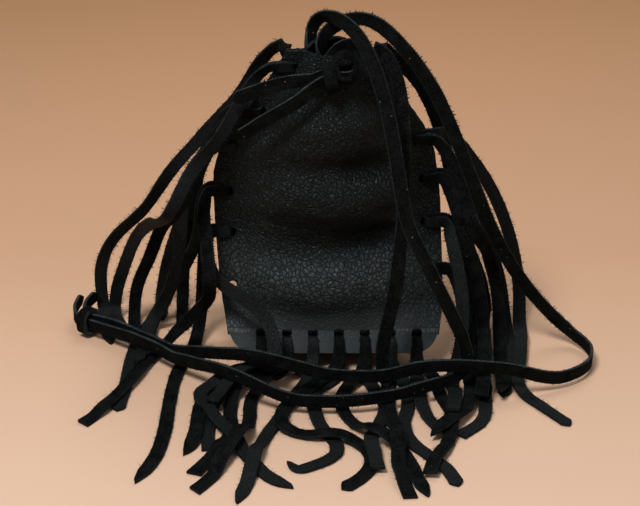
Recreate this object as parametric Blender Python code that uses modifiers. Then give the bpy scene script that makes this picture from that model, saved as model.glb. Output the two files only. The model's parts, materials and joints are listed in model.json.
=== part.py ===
# A small leather medicine bag: two pebble-grained panels laced together at the sides and the bottom
# with flat thongs whose long tails make the fringe, a drawstring tied at the neck, and a neck thong.
# The bag stands slumped on its lower back. Metres, +Z up, the front faces -Y, and the origin is the
# middle of the flat patch that the back panel rests on.

import math

import bmesh
import bpy
from mathutils import Vector

MM = 0.001

# Driving dimensions, in millimetres
BAG_WIDTH = 84.0
BAG_HEIGHT = 116.0
BAG_DEPTH = 56.0
MOUTH_GAP = 13.0
LEATHER_THICKNESS = 1.3
SEAM_MARGIN = 7.5
FLANGE_HEIGHT = 8.6
LACE_WIDTH = 4.8
LACE_THICKNESS = 1.2
LACE_NECKED_WIDTH = 3.2
HOLE_DIAMETER = 4.4
HOLE_INSET = 4.6
CLEARANCE = 0.3
LACE_STAND_OFF = 0.4
LACE_HOLE_SHIFT = 0.5
LACE_PITCH_BOTTOM = 9.6
BOTTOM_HOLES = 7
FIRST_BOTTOM_HOLE = -24.0
RIM_HOLE_INSET = 5.4
RIM_SLACK = 0.8
CORNER_WAY = (0.45, 0.89)
LIFT_ZONE = 14.0
HANG_ZONE = 6.0
HANG_GAP = 5.6
HANG_REACH = 16.0
HOLE_SIDES = 8
PANEL_COLUMNS = 10
LACE_STEP = 5.6
PILE_CELL = 0.8
PILE_GAP = 0.35
FLOOR_GAP = 0.15
DRAPE_REACH = 10.0
EDGE_REACH = 34.0
EDGE_HEIGHT = 14.0

UP = Vector((0.0, 0.0, 1.0))
FRONT = Vector((0.0, -1.0, 0.0))

# Levels up the bag, from the bottom seam to the mouth, as shares of the bag's own sizes.
# Seam: half width, sideways offset (shares of BAG_WIDTH), depth (of BAG_DEPTH), height (of BAG_HEIGHT).
SEAM_LEVELS = [
    (0.417, 0.036, -0.607, 0.054),
    (0.467, 0.033, -0.530, 0.112),
    (0.488, 0.030, -0.393, 0.189),
    (0.497, 0.021, -0.268, 0.276),
    (0.500, 0.012, -0.179, 0.379),
    (0.500, 0.006, -0.143, 0.483),
    (0.494, 0.000, -0.125, 0.577),
    (0.470, 0.003, -0.134, 0.664),
    (0.420, 0.008, -0.143, 0.742),
    (0.350, 0.014, -0.161, 0.810),
    (0.280, 0.020, -0.179, 0.888),
    (0.228, 0.026, -0.188, 0.950),
    (0.196, 0.030, -0.196, 1.000),
]
# Middle line of each panel above the flange: depth and height.
FRONT_LEVELS = [
    (-0.507, 0.177),
    (-0.471, 0.254),
    (-0.420, 0.341),
    (-0.386, 0.435),
    (-0.425, 0.530),
    (-0.432, 0.625),
    (-0.429, 0.715),
    (-0.411, 0.793),
    (-0.366, 0.879),
    (-0.313, 0.940),
    (-0.268, 0.991),
]
BACK_LEVELS = [
    (-0.430, 0.082),
    (-0.260, -0.048),
    (0.020, -0.116),
    (0.270, -0.068),
    (0.368, 0.103),
    (0.374, 0.241),
    (0.325, 0.388),
    (0.255, 0.544),
    (0.152, 0.698),
    (0.028, 0.871),
    (0.0, 1.013),
]
FLANGE_LEAN = (0.5, 0.866)


def clear_scene():
    for old in list(bpy.data.objects):
        bpy.data.objects.remove(old, do_unlink=True)


def new_collection(name):
    group = bpy.data.collections.new(name)
    bpy.context.scene.collection.children.link(group)
    return group


def leather(name, colour, roughness):
    made = bpy.data.materials.new(name)
    made.use_nodes = True
    shader = made.node_tree.nodes["Principled BSDF"]
    shader.inputs["Base Color"].default_value = (*colour, 1.0)
    shader.inputs["Roughness"].default_value = roughness
    shader.inputs["Metallic"].default_value = 0.0
    return made


def slope(before, at, after):
    """The direction of a smooth curve at a point, weighted so that uneven spacing makes no overshoot."""
    near, far = at - before, after - at
    a, b = max(near.length, 1e-9), max(far.length, 1e-9)
    return (near * (b / a) + far * (a / b)) / (a + b)


def spline_at(points, t):
    """The point at t, counted in points, on a smooth curve through the points."""
    last = len(points) - 1
    i = min(int(t), last - 1)
    f = t - i
    p1, p2 = Vector(points[i]), Vector(points[i + 1])
    m1 = slope(Vector(points[i - 1]), p1, p2) * (p2 - p1).length if i > 0 else p2 - p1
    m2 = slope(p1, p2, Vector(points[i + 2])) * (p2 - p1).length if i + 2 <= last else p2 - p1
    f2, f3 = f * f, f * f * f
    return p1 * (2 * f3 - 3 * f2 + 1) + m1 * (f3 - 2 * f2 + f) + p2 * (3 * f2 - 2 * f3) + m2 * (f3 - f2)


def even_path(points, step):
    """Points about one step apart on the smooth curve through a route."""
    fine = []
    for i in range(len(points) - 1):
        fine += [spline_at(points, i + k / 12) for k in range(12)]
    fine.append(Vector(points[-1]))
    reach = [0.0]
    for a, b in zip(fine, fine[1:]):
        reach.append(reach[-1] + (b - a).length)
    count = max(2, round(reach[-1] / step))
    path, k = [], 0
    for n in range(count + 1):
        want = reach[-1] * n / count
        while k < len(fine) - 2 and reach[k + 1] < want:
            k += 1
        share = (want - reach[k]) / max(reach[k + 1] - reach[k], 1e-9)
        path.append(fine[k].lerp(fine[k + 1], min(share, 1.0)))
    return path


def flange_point(level):
    """Depth and height of the bottom flange's middle surface, from its edge (0) to its fold (1)."""
    depth = SEAM_LEVELS[0][2] * BAG_DEPTH + FLANGE_LEAN[0] * FLANGE_HEIGHT * level
    height = SEAM_LEVELS[0][3] * BAG_HEIGHT + FLANGE_LEAN[1] * FLANGE_HEIGHT * level
    return Vector((depth, height))


def seam_at(level):
    """Half width, sideways offset, depth and height of the side seam's edge at a level."""
    half, offset, depth, height = spline4(SEAM_LEVELS, level)
    if level <= 1:
        low = flange_point(level)
        return half * BAG_WIDTH, offset * BAG_WIDTH, low.x, low.y
    return half * BAG_WIDTH, offset * BAG_WIDTH, depth * BAG_DEPTH, height * BAG_HEIGHT


def spline4(rows, level):
    ab = spline_at([(r[0], r[1], 0.0) for r in rows], level)
    cd = spline_at([(r[2], r[3], 0.0) for r in rows], level)
    return ab.x, ab.y, cd.x, cd.y


def middle_at(levels, level):
    """Depth and height of a panel's middle line at a level."""
    if level <= 1:
        return flange_point(level)
    fold = flange_point(1)
    rows = [(fold.x, fold.y, 0.0)]
    rows += [(depth * BAG_DEPTH, height * BAG_HEIGHT, 0.0) for depth, height in levels]
    at = spline_at(rows, level - 1)
    return Vector((at.x, at.y))


def back_levels():
    """The back panel's levels, with the mouth's gap setting how far its rim stands from the front's."""
    rim = FRONT_LEVELS[-1][0] + MOUTH_GAP / BAG_DEPTH
    return BACK_LEVELS[:-1] + [(rim, BACK_LEVELS[-1][1])]


def panel_point(levels, roundness, level, share):
    """A point on a panel's middle surface. share runs from -1 at the left edge to 1 at the right."""
    half, offset, depth, height = seam_at(level)
    middle = middle_at(levels, level)
    fill = max(0.0, 1.0 - (abs(share) * half / (half - SEAM_MARGIN)) ** roundness)
    y = depth + (middle.x - depth) * fill
    z = height + (middle.y - height) * fill
    return Vector((share * half + offset, y, max(z, LEATHER_THICKNESS / 2)))


def panel_grid(levels, roundness):
    """Rows of points on a panel's middle surface, with three columns in the flat margin at each side."""
    last = len(SEAM_LEVELS) - 1
    rows = []
    for level in [k / 3 for k in range(3)] + [1 + k / 2 for k in range(2 * last - 1)]:
        half = seam_at(level)[0]
        margin = [1.0 - SEAM_MARGIN * k / 3 / half for k in range(3)]
        inner = 1.0 - SEAM_MARGIN / half
        columns = PANEL_COLUMNS
        across = [-m for m in margin] + [inner * (2 * k / columns - 1) for k in range(columns + 1)]
        across += margin[::-1]
        rows.append([panel_point(levels, roundness, level, share) for share in across])
    return rows


def offset_grid(rows, side, distance):
    """The grid moved out along its own normals, so that the two panels lie on each other at the seam."""
    moved = []
    for i, row in enumerate(rows):
        out = []
        for j, point in enumerate(row):
            up = (rows[min(i + 1, len(rows) - 1)][j] - point).normalized()
            up += (point - rows[max(i - 1, 0)][j]).normalized()
            along = (row[min(j + 1, len(row) - 1)] - point).normalized()
            along += (point - row[max(j - 1, 0)]).normalized()
            spot = point + along.cross(up).normalized() * (-side * distance)
            out.append(Vector((spot.x, spot.y, max(spot.z, LEATHER_THICKNESS / 2))))
        moved.append(out)
    return moved


def mesh_object(name, points, faces, group, material, smooth):
    mesh = bpy.data.meshes.new(name)
    mesh.from_pydata([tuple(p * MM) for p in points], [], faces)
    mesh.materials.append(material)
    made = bpy.data.objects.new(name, mesh)
    group.objects.link(made)
    if smooth:
        mesh.shade_smooth()
    return made


def solidify(made, thickness):
    shell = made.modifiers.new("thickness", "SOLIDIFY")
    shell.thickness = thickness * MM
    shell.offset = 0.0
    shell.use_even_offset = False


def panel(name, levels, roundness, side, group, material, cutters):
    stand_off = LEATHER_THICKNESS / 2 + CLEARANCE / 2
    rows = offset_grid(panel_grid(levels, roundness), side, stand_off)
    wide = len(rows[0])
    points = [p for row in rows for p in row]
    faces = []
    for i in range(len(rows) - 1):
        for j in range(wide - 1):
            a = i * wide + j
            faces.append((a, a + 1, a + 1 + wide, a + wide))
    made = mesh_object(name, points, faces, group, material, smooth=True)
    solidify(made, LEATHER_THICKNESS)
    for cutter in cutters:
        hole = made.modifiers.new("holes", "BOOLEAN")
        hole.operation = "DIFFERENCE"
        hole.object = cutter
    return made


class Hole:
    """A punched hole: its middle, the way out to the edge, before and behind, and the way to the front."""

    def __init__(self, middle, out, front, stack):
        self.middle = Vector(middle)
        self.out = Vector(out).normalized()
        self.back_out = self.out
        self.front = Vector(front).normalized()
        self.stack = stack


def side_hole(sign, share):
    """The hole of the left (-1) or right (1) seam at a height that is a share of the bag's."""
    last = len(SEAM_LEVELS) - 1
    height = share * BAG_HEIGHT
    level = min((k / 50 for k in range(50, 50 * last)), key=lambda k: abs(seam_at(k)[3] - height))
    half, offset, depth, high = seam_at(level)
    above, below = seam_at(level + 0.2), seam_at(level - 0.2)
    along = Vector((0.0, above[2] - below[2], above[3] - below[3])).normalized()
    front = Vector((0.0, -along.z, along.y))
    middle = Vector((offset + sign * (half - HOLE_INSET), depth, high))
    return Hole(middle, (sign, 0.0, 0.0), front, LEATHER_THICKNESS + CLEARANCE / 2)


def corner_hole(sign, both):
    """The seam's top hole on one side. Its way out slants up over the mouth's corner, at the back or on
    both sides of the leather."""
    last = len(SEAM_LEVELS) - 1
    top = seam_at(last)
    hole = side_hole(sign, (top[3] - RIM_HOLE_INSET) / BAG_HEIGHT)
    along = hole.front.cross(Vector((1.0, 0.0, 0.0)))
    if along.z < 0:
        along.negate()
    hole.back_out = (hole.out * CORNER_WAY[0] + along * CORNER_WAY[1]).normalized()
    if both:
        hole.out = hole.back_out
    return hole


def bottom_hole(x):
    at = flange_point(HOLE_INSET / FLANGE_HEIGHT)
    out = Vector((0.0, -FLANGE_LEAN[0], -FLANGE_LEAN[1]))
    front = Vector((0.0, -FLANGE_LEAN[1], FLANGE_LEAN[0]))
    return Hole((x, at.x, at.y), out, front, LEATHER_THICKNESS + CLEARANCE / 2)


def rim_hole(x, levels, roundness, side):
    """A hole through one panel alone, just under the mouth's rim."""
    last = len(SEAM_LEVELS) - 1
    half, offset = seam_at(last)[:2]
    share = (x - offset) / half
    top = panel_point(levels, roundness, last, share)
    low = panel_point(levels, roundness, last - 1, share)
    left, right = (panel_point(levels, roundness, last, share + step) for step in (-0.12, 0.12))
    up = Vector((0.0, top.y - low.y, top.z - low.z)).normalized()
    front = (right - left).cross(up).normalized()
    stand_off = LEATHER_THICKNESS / 2 + CLEARANCE / 2
    middle = Vector((x, top.y, top.z)) - up * RIM_HOLE_INSET - front * (side * stand_off)
    hole = Hole(middle, up, front, LEATHER_THICKNESS / 2 + RIM_SLACK)
    hole.along = (left - right).normalized()
    return hole


def hole_cutters(name, holes, group):
    """One object with a short round punch for each hole."""
    shape = bmesh.new()
    for hole in holes:
        turn = hole.front.to_track_quat("Z", "Y").to_matrix().to_4x4()
        turn.translation = hole.middle * MM
        bmesh.ops.create_cone(
            shape,
            cap_ends=True,
            segments=HOLE_SIDES,
            radius1=HOLE_DIAMETER / 2 * MM,
            radius2=HOLE_DIAMETER / 2 * MM,
            depth=(2 * hole.stack + 2.0) * MM,
            matrix=turn,
        )
    mesh = bpy.data.meshes.new(name)
    shape.to_mesh(mesh)
    shape.free()
    made = bpy.data.objects.new(name, mesh)
    made.hide_render = True
    made.display_type = "WIRE"
    group.objects.link(made)
    return made


class Station:
    """One cross-section of a flat thong: its middle, the direction of its width, and how wide it is."""

    def __init__(self, at, across, width):
        self.at = at
        self.across = across
        self.width = width


def face_ways(path, start_face, flat_from):
    """Where the thong's face looks along a tail: as at the hole, then forward, then up on the floor."""
    ways = []
    for k in range(len(path)):
        hang = min(1.0, k * LACE_STEP / 12.0)
        way = start_face.lerp(FRONT, hang)
        if k >= flat_from - 4:
            way = way.lerp(UP, min(1.0, (k - flat_from + 4) / 4))
        ways.append(way.normalized())
    return ways


def tail_stations(route, start_face, on_edge):
    """Stations from the hole outwards. A tail on the floor lies flat, or stands on its edge."""
    path = even_path(route, LACE_STEP)
    low = [k for k, p in enumerate(path) if p.z < 3.0]
    flat_from = low[0] if low and not on_edge else len(path) + 4
    ways = face_ways(path, start_face, flat_from)
    stations = []
    for k, point in enumerate(path):
        heading = (path[min(k + 1, len(path) - 1)] - path[max(k - 1, 0)]).normalized()
        across = heading.cross(ways[k]).normalized()
        if stations and across.dot(stations[-1].across) < 0:
            across.negate()
        if on_edge and point.z < EDGE_HEIGHT:
            stand = min(1.0, max(0.0, (0.75 - abs(heading.z)) / 0.35))
            upright = UP if not stations or stations[-1].across.z >= -0.05 else -UP
            across = across.lerp(upright, stand)
            across = (across - heading * across.dot(heading)).normalized()
        grown = min(1.0, k * LACE_STEP / 8.0)
        width = LACE_NECKED_WIDTH + (LACE_WIDTH - LACE_NECKED_WIDTH) * grown
        stations.append(Station(point, across, width))
    return stations


def footprint(stations):
    """The cells that a thong covers seen from above, with its lowest and highest point in each."""
    cells = {}
    for k in range(len(stations) - 1):
        a, b = stations[k], stations[k + 1]
        heading = (b.at - a.at).normalized()
        face = a.across.cross(heading).normalized() * (LACE_THICKNESS / 2)
        steps = max(1, math.ceil((b.at - a.at).length / 0.7))
        wide = max(2, math.ceil(LACE_WIDTH / 0.7))
        for n in range(steps + 1):
            share = n / steps
            middle = a.at.lerp(b.at, share)
            across = a.across.lerp(b.across, share)
            width = a.width + (b.width - a.width) * share
            for m in range(wide + 1):
                side = middle + across * (width * (m / wide - 0.5))
                for spot in (side + face, side - face):
                    key = (math.floor(spot.x / PILE_CELL), math.floor(spot.y / PILE_CELL))
                    cell = cells.get(key)
                    near = k if share < 0.5 else k + 1
                    if cell is None:
                        cells[key] = [spot.z, spot.z, near]
                    elif spot.z < cell[0]:
                        cell[0], cell[2] = spot.z, near
                    elif spot.z > cell[1]:
                        cell[1] = spot.z
    return cells


def lay_on(pile, stations, held, reach):
    """Lifts a thong until it clears the floor and all that was laid before, and adds it to the pile."""
    for _ in range(14):
        need = {}
        cells = footprint(stations)
        for key, (low, high, near) in cells.items():
            lift = max(0.0, FLOOR_GAP - low)
            if low > LIFT_ZONE:
                continue
            for other_low, other_high in pile.get(key, ()):
                if other_high < LIFT_ZONE and low - PILE_GAP < other_high and high + PILE_GAP > other_low:
                    lift = max(lift, other_high + PILE_GAP - low)
            if lift > 0.01 and lift > need.get(near, 0.0):
                need[near] = lift
        need = {k: v for k, v in need.items() if k > held}
        if not need:
            break
        lifts = [0.0] * len(stations)
        for k, lift in need.items():
            for j in range(held, len(stations)):
                far = abs(j - k) * LACE_STEP / reach
                if far < 1.0:
                    free = min(1.0, (j - held) / 2)
                    lifts[j] = max(lifts[j], lift * free * (0.5 + 0.5 * math.cos(math.pi * far)))
        for j, lift in enumerate(lifts):
            stations[j].at.z += lift
    for key, (low, high, _) in footprint(stations).items():
        pile.setdefault(key, []).append((low, high))


def hang_clear(strands, stations, held, way):
    """Moves a hanging thong forward or back, along way, until it clears the thongs hung before it."""
    for _ in range(12):
        need = {}
        for k, s in enumerate(stations):
            if k <= held or s.at.z < HANG_ZONE:
                continue
            for a, b in strands:
                if min(a.z, b.z) < HANG_ZONE:
                    continue
                if abs(a.z - s.at.z) > 2 * LACE_STEP or abs(a.x - s.at.x) > 2 * LACE_STEP:
                    continue
                run = b - a
                share = min(1.0, max(0.0, (s.at - a).dot(run) / run.length_squared))
                apart = s.at - a.lerp(b, share)
                if apart.length < HANG_GAP:
                    room = math.sqrt(HANG_GAP ** 2 - apart.x ** 2 - apart.z ** 2)
                    need[k] = max(need.get(k, 0.0), room - apart.y * way)
        if not need:
            break
        moves = [0.0] * len(stations)
        for k, move in need.items():
            for j in range(held + 1, len(stations)):
                far = abs(j - k) * LACE_STEP / HANG_REACH
                if far < 1.0:
                    moves[j] = max(moves[j], (move + 0.1) * (0.5 + 0.5 * math.cos(math.pi * far)))
        for j, move in enumerate(moves):
            stations[j].at.y += move * way


def lace_rise(hole):
    """How far a thong's middle lies from the hole's middle where it runs along the leather."""
    return hole.stack + LACE_STAND_OFF + LACE_THICKNESS / 2


def hole_pass(hole, way_a, way_b, across_a, across_b):
    """The stations that take a thong from the front of its hole to the back."""
    rise = lace_rise(hole)
    shift = (way_a + way_b) * (-LACE_HOLE_SHIFT / 2)
    bends = [(way_a, 0.3, rise - 0.25), (way_a, 0.0, rise - 0.95)]
    bends += [(way_b, 0.0, 0.95 - rise), (way_b, 0.3, 0.25 - rise)]
    stations = []
    for k, (way, run, height) in enumerate(bends):
        across = across_a.lerp(across_b, k / 3).normalized()
        at = hole.middle + shift + way * run + hole.front * height
        stations.append(Station(at, across, LACE_NECKED_WIDTH))
    return stations


def tail_route(hole, way, front_side, route):
    """A tail's route with its run from the hole, past the edge, put before the chosen points."""
    runs = [0.7, 0.7 + HOLE_INSET / 2, HOLE_INSET + 1.4]
    start = [hole.middle + way * run + hole.front * (lace_rise(hole) * front_side) for run in runs]
    return start + [Vector(p) for p in route]


def strap_mesh(name, stations, cuts, group, material):
    """A flat thong as a strip through its stations, cut at a slant at each end, made solid."""
    points = []
    last = len(stations) - 1
    for k, s in enumerate(stations):
        half = s.across * (s.width / 2)
        slant = Vector((0.0, 0.0, 0.0))
        if k in (0, last):
            ahead = stations[1].at - s.at if k == 0 else stations[-2].at - s.at
            slant = ahead.normalized() * (cuts[0] if k == 0 else cuts[1])
        points += [s.at - half + slant, s.at + half - slant]
    faces = [(2 * k, 2 * k + 1, 2 * k + 3, 2 * k + 2) for k in range(last)]
    made = mesh_object(name, points, faces, group, material, smooth=False)
    solidify(made, LACE_THICKNESS)
    return made


def laced_thong(name, hole, tails, laid, group, material, ways=None, on_edge=False, hung=True):
    """One thong through its hole, with the front tail and the back tail laid on what lies there."""
    pile, strands = laid
    way_a, way_b = ways or (hole.out, hole.back_out)
    across_a = way_a.cross(hole.front).normalized()
    across_b = way_b.cross(hole.front).normalized()
    if across_a.dot(across_b) < 0:
        across_b.negate()
    runs = []
    for way, across, front_side, route in (
        (way_b, across_b, -1, tails[1]),
        (way_a, across_a, 1, tails[0]),
    ):
        face = hole.front if way.dot(way_a) > 0 else -hole.front
        stations = tail_stations(tail_route(hole, way, front_side, route), face, on_edge)
        if stations[0].across.dot(across) < 0:
            for s in stations:
                s.across.negate()
        forward = ways or front_side > 0
        if hung:
            hang_clear(strands, stations, 1, -1.0 if forward else 1.0)
        lay_on(pile, stations, 2, EDGE_REACH if on_edge else DRAPE_REACH)
        strands += [(a.at.copy(), b.at.copy()) for a, b in zip(stations, stations[1:])]
        runs.append(stations)
    back, front = runs
    whole = front[::-1] + hole_pass(hole, way_a, way_b, across_a, across_b) + back
    slants = (0.9, -0.6, 0.3, -1.2, 0.7)
    turn = len(name) + ord(name[-1])
    cuts = (slants[turn % 5], slants[(turn + 2) % 5])
    return strap_mesh(name, whole, cuts, group, material)


def knot(name, middle, through, lean, side, high, group, material):
    """A band of thong round two runs, its section a rounded rectangle that hugs them."""
    axis = Vector(through).normalized()
    flat = UP.cross(axis).normalized()
    level = flat * math.cos(lean) + axis.cross(flat) * math.sin(lean)
    up = axis.cross(level)
    points = []
    for k in range(KNOT_SIDES):
        turn = 2 * math.pi * k / KNOT_SIDES
        a, b = math.cos(turn), math.sin(turn)
        spot = Vector(middle) + level * (side * math.copysign(abs(a) ** 0.5, a))
        spot += up * (high * math.copysign(abs(b) ** 0.5, b))
        points += [spot - axis * (KNOT_BAND / 2), spot + axis * (KNOT_BAND / 2)]
    count = 2 * KNOT_SIDES
    faces = [(k, k + 1, (k + 3) % count, (k + 2) % count) for k in range(0, count, 2)]
    solidify(mesh_object(name, points, faces, group, material, smooth=True), LACE_THICKNESS)


# Fringe tails, as routes in millimetres from just past the hole to the tip: front tail, then back tail.
LEFT_TAILS = [
    [
        [(-19, -11, 110), (-23, -11, 109), (-26, -11, 105), (-31, -11, 97), (-39, -10, 86),
         (-50, -9, 73), (-58, -7, 60), (-65, -4, 50), (-72, 0, 39), (-78, 4, 24), (-82, 7, 12),
         (-83, 7, 2), (-78, -12, 0)],
        [(-12, -6, 117), (-15, -5, 117), (-19, -3, 115), (-23, -2, 110), (-27, 0, 103),
         (-32, 2, 94), (-39, 4, 85), (-47, 6, 75), (-59, 8, 62), (-70, 10, 45), (-83, 12, 32),
         (-88, 13, 22), (-89, 13, 11), (-88, 11, 2), (-85, -4, 0), (-82, -16, 0)],
    ],
    [
        [(-39, -13, 86), (-46, -11, 73), (-53, -8, 61), (-58, -5, 53), (-63, -2, 42), (-68, 2, 28),
         (-74, 5, 14), (-75, 3, 2), (-73, -14, 0)],
        [(-40, 0, 84), (-46, 8, 68), (-50, 12, 54), (-56, 15, 41), (-60, 17, 28), (-64, 20, 14),
         (-66, 18, 1), (-64, 4, 0)],
    ],
    [
        [(-49, -13, 72), (-53, -14, 58), (-54, -13, 44), (-57, -10, 28), (-62, -4, 13), (-67, -3, 1),
         (-68, -18, 0), (-70, -36, 0)],
        [(-47, 2, 68), (-50, 8, 52), (-53, 12, 35), (-56, 15, 20), (-57, 18, 6), (-57, 12, 0),
         (-56, -4, 0)],
    ],
    [
        [(-45, -17, 54), (-43, -20, 46), (-42, -22, 36), (-43, -24, 27), (-48, -25, 19), (-56, -23, 10),
         (-62, -22, 2), (-66, -30, 0), (-71, -46, 0), (-78, -64, 0), (-85, -75, 0)],
        [(-47, -2, 52), (-48, -1, 40), (-53, 0, 28), (-61, 3, 14), (-68, 1, 2), (-72, -14, 0),
         (-73, -32, 0), (-73, -50, 0), (-74, -66, 0)],
    ],
    [
        [(-44, -22, 41), (-41, -29, 35), (-34, -35, 32), (-26, -39, 29), (-20, -41, 22), (-18, -42, 12),
         (-20, -43, 3), (-27, -48, 0), (-36, -57, 0), (-40, -68, 0)],
        [(-46, -4, 36), (-47, -5, 22), (-48, -8, 9), (-50, -18, 1), (-55, -40, 0), (-56, -62, 0),
         (-56, -80, 0), (-58, -98, 0), (-63, -112, 0)],
    ],
]
RIGHT_TAILS = [
    [
        [(17, -15, 119), (21, -18, 117), (24, -21, 112), (26, -25, 105), (27, -30, 94), (27, -35, 80),
         (27, -39, 66), (26, -42, 52), (25, -44, 38), (22, -45, 24), (20, -46, 12), (21, -48, 2),
         (22, -56, 0)],
        [(19, -4, 116), (26, -1, 109), (31, 3, 103), (36, 7, 95), (41, 9, 84), (45, 9, 72), (48, 8, 58),
         (51, 6, 44), (53, 4, 28), (55, 3, 12), (56, 0, 2), (57, -10, 0)],
    ],
    [
        [(42, -11, 80), (49, -15, 67), (54, -19, 53), (58, -16, 44), (61, -12, 36), (65, -12, 20), (66, -13, 8),
         (66, -20, 1), (65, -32, 0), (64.5, -48, 0), (62, -60, 0)],
        [(45, 3, 80), (54, 6, 69), (62, 8, 57), (68, 9, 44), (73, 9, 29), (76, 8, 12),
         (76, 2, 1), (74, -20, 0), (71, -40, 0), (70, -52, 0), (76, -62, 0), (85, -76, 0)],
    ],
    [
        [(46, -14, 62), (50, -18, 51), (54, -21, 39), (57, -22, 27), (59, -23, 14), (59, -26, 4),
         (58, -36, 0), (57.5, -50, 0), (55, -62, 0)],
        [(48, 0, 62), (56, 2, 48), (63, 3, 33), (68, 3, 17), (70, 2, 4), (70, -14, 0), (67, -36, 0),
         (64, -56, 0)],
    ],
    [
        [(46, -20, 46), (49, -26, 35), (50, -30, 23), (49, -33, 11), (47, -38, 2), (46, -48, 0),
         (46, -60, 0), (44, -74, 0)],
        [(48, -4, 45), (55, -3, 33), (60, -3, 20), (62, -4, 8), (61, -10, 1), (58, -28, 0),
         (57, -46, 0), (58, -62, 0)],
    ],
    [
        [(49, -24, 30), (51, -31, 20), (52, -36, 11), (52, -43, 2), (52, -54, 0), (50, -66, 0),
         (44, -76, 0), (36, -86, 0)],
        [(51, -10, 27), (55, -10, 17), (57, -12, 6), (57, -20, 0), (57, -42, 0), (57, -58, 0),
         (54, -74, 0), (46, -83, 0)],
    ],
]
BOTTOM_TAILS = [
    [
        [(-29, -44, 1), (-39, -52, 0), (-44, -62, 0), (-45, -74, 0), (-45, -84, 0), (-48, -95, 0)],
        [(-28, -42, 0), (-36, -48, 0), (-40, -62, 0), (-41, -80, 0), (-40, -92, 0)],
    ],
    [
        [(-24, -44, 1), (-38, -50, 0), (-45, -60, 0), (-40, -72, 0), (-34, -82, 0), (-29, -92, 0),
         (-24, -101, 0), (-18, -110, 0), (-11, -115, 0)],
        [(-20, -43, 0), (-31, -51, 0), (-34, -68, 0), (-33, -80, 0), (-36, -92, 0), (-41, -101, 0),
         (-44, -107, 0)],
    ],
    [
        [(-7, -45, 1), (-12, -58, 0), (-16, -70, 0), (-21, -84, 0), (-24, -98, 0), (-26, -112, 0),
         (-29, -124, 0)],
        [(-14, -44, 0), (-26, -56, 0), (-27, -72, 0), (-28, -84, 0), (-34, -98, 0), (-38, -109, 0),
         (-43, -117, 0)],
    ],
    [
        [(0, -45, 1), (-8, -56, 0), (-15, -68, 0), (-15, -78, 0), (-8, -83, 0), (2, -85, 0), (9, -87, 0),
         (14, -93, 0), (15, -101, 0), (11, -110, 0), (5, -116, 0)],
        [(3, -44, 0), (-4, -54, 0), (-4, -66, 0), (-1, -79, 0), (3, -87, 0), (3, -95, 0), (-3, -101, 0),
         (-10, -104, 0), (-13, -100, 0)],
    ],
    [
        [(12, -44, 1), (6, -55, 0), (6, -66, 0), (10, -76, 0), (17, -86, 0), (24, -92, 0), (28, -100, 0),
         (30, -110, 0), (33, -120, 0)],
        [(15, -43, 0), (18, -53, 0), (21, -64, 0), (18, -77, 0), (15, -87, 0), (16, -96, 0),
         (17, -106, 0)],
    ],
    [
        [(27, -44, 1), (29, -54, 0), (29, -64, 0), (27, -75, 0), (29, -87, 0), (34, -95, 0),
         (40, -104, 0), (43, -114, 0)],
        [(24, -43, 0), (22, -54, 0), (22, -64, 0), (23, -78, 0), (24, -92, 0), (24, -106, 0),
         (27, -121, 0)],
    ],
    [
        [(36, -44, 1), (40, -54, 0), (44, -67, 0), (43, -82, 0), (40, -92, 0), (36, -101, 0),
         (34, -109, 0)],
        [(33, -43, 0), (33, -54, 0), (34, -65, 0), (37, -74, 0), (40, -80, 0)],
    ],
]
# Heights of the side holes, as shares of BAG_HEIGHT.
LEFT_HOLES = (0.801, 0.681, 0.526, 0.388)
RIGHT_HOLES = (0.707, 0.569, 0.423, 0.276)
EMPTY_HOLE = 0.233
NECK_RIM_X = -3.0
TIE_X = 6.0

# The neck thong, from the mouth to the knotted ends: the long outer run, then the nearer run.
NECK_OUTER = [
    (0, -5, 121), (5, -5.5, 125), (12, -7, 127), (17, -10, 126.5), (23, -14, 122.5), (31, -16, 114),
    (39, -17, 102), (46, -19, 87), (52, -21, 72), (59, -21, 55), (67, -18, 38), (75, -14, 25), (84, -14, 14),
    (93, -16, 6), (99, -26, 4), (97, -38, 4), (89, -47, 4), (78, -52, 4), (64, -55, 5), (48, -56, 5),
    (30, -54, 5), (12, -56, 5), (-6, -57, 5), (-23, -54, 5), (-43, -42, 5), (-61, -28, 4),
    (-77, -15.5, 4.2), (-85.5, -10.3, 4.6), (-91.2, -6.2, 4.7), (-94, -1, 5), (-93.5, 5, 7), (-90, 10, 9),
]
NECK_NEARER = [
    (-5, 1, 121), (-4, -2, 125), (0, -6, 127.5), (5, -11, 127.5), (9, -16, 125.5), (13.5, -22, 121),
    (17, -28, 114), (19.5, -32, 107), (22, -36, 98), (24, -40, 87), (26, -44, 75), (28, -47, 65),
    (34, -51, 53), (40, -53, 41), (46, -54, 29), (50, -53, 17), (51, -52, 8), (45, -56, 5), (36, -60, 5),
    (25, -64, 5), (12, -67, 5), (-2, -68, 5), (-17, -66, 5), (-31, -59, 4), (-43, -49, 4), (-55, -38.5, 4),
    (-66, -28.5, 4), (-79, -18.2, 4.2), (-87, -12.2, 4.6), (-92.6, -7.8, 4.7), (-97, -3, 5), (-98, 4, 6),
    (-96, 10, 8),
]
# The drawstring: its end lying to the left, and the loop over the rim with the second end.
TIE_LEFT = [
    (-4, -22.5, 109), (-8, -22.5, 108.5), (-14, -21.5, 107.5), (-20, -20.5, 105.5), (-27, -20.5, 103),
    (-33, -20.5, 100.5),
]
TIE_LOOP = [
    (2, -11.5, 113.5), (6, -13, 118), (10, -16, 119), (12.5, -19.5, 117), (13, -22, 113.5),
    (11.5, -23.6, 111), (7, -24.1, 110), (2, -23.7, 109.5), (-4, -25.4, 106.8), (-10, -27, 102.5),
    (-16, -26.5, 98.5), (-22, -25, 94.5), (-27, -23.5, 90.5), (-31, -21, 87),
]
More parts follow.
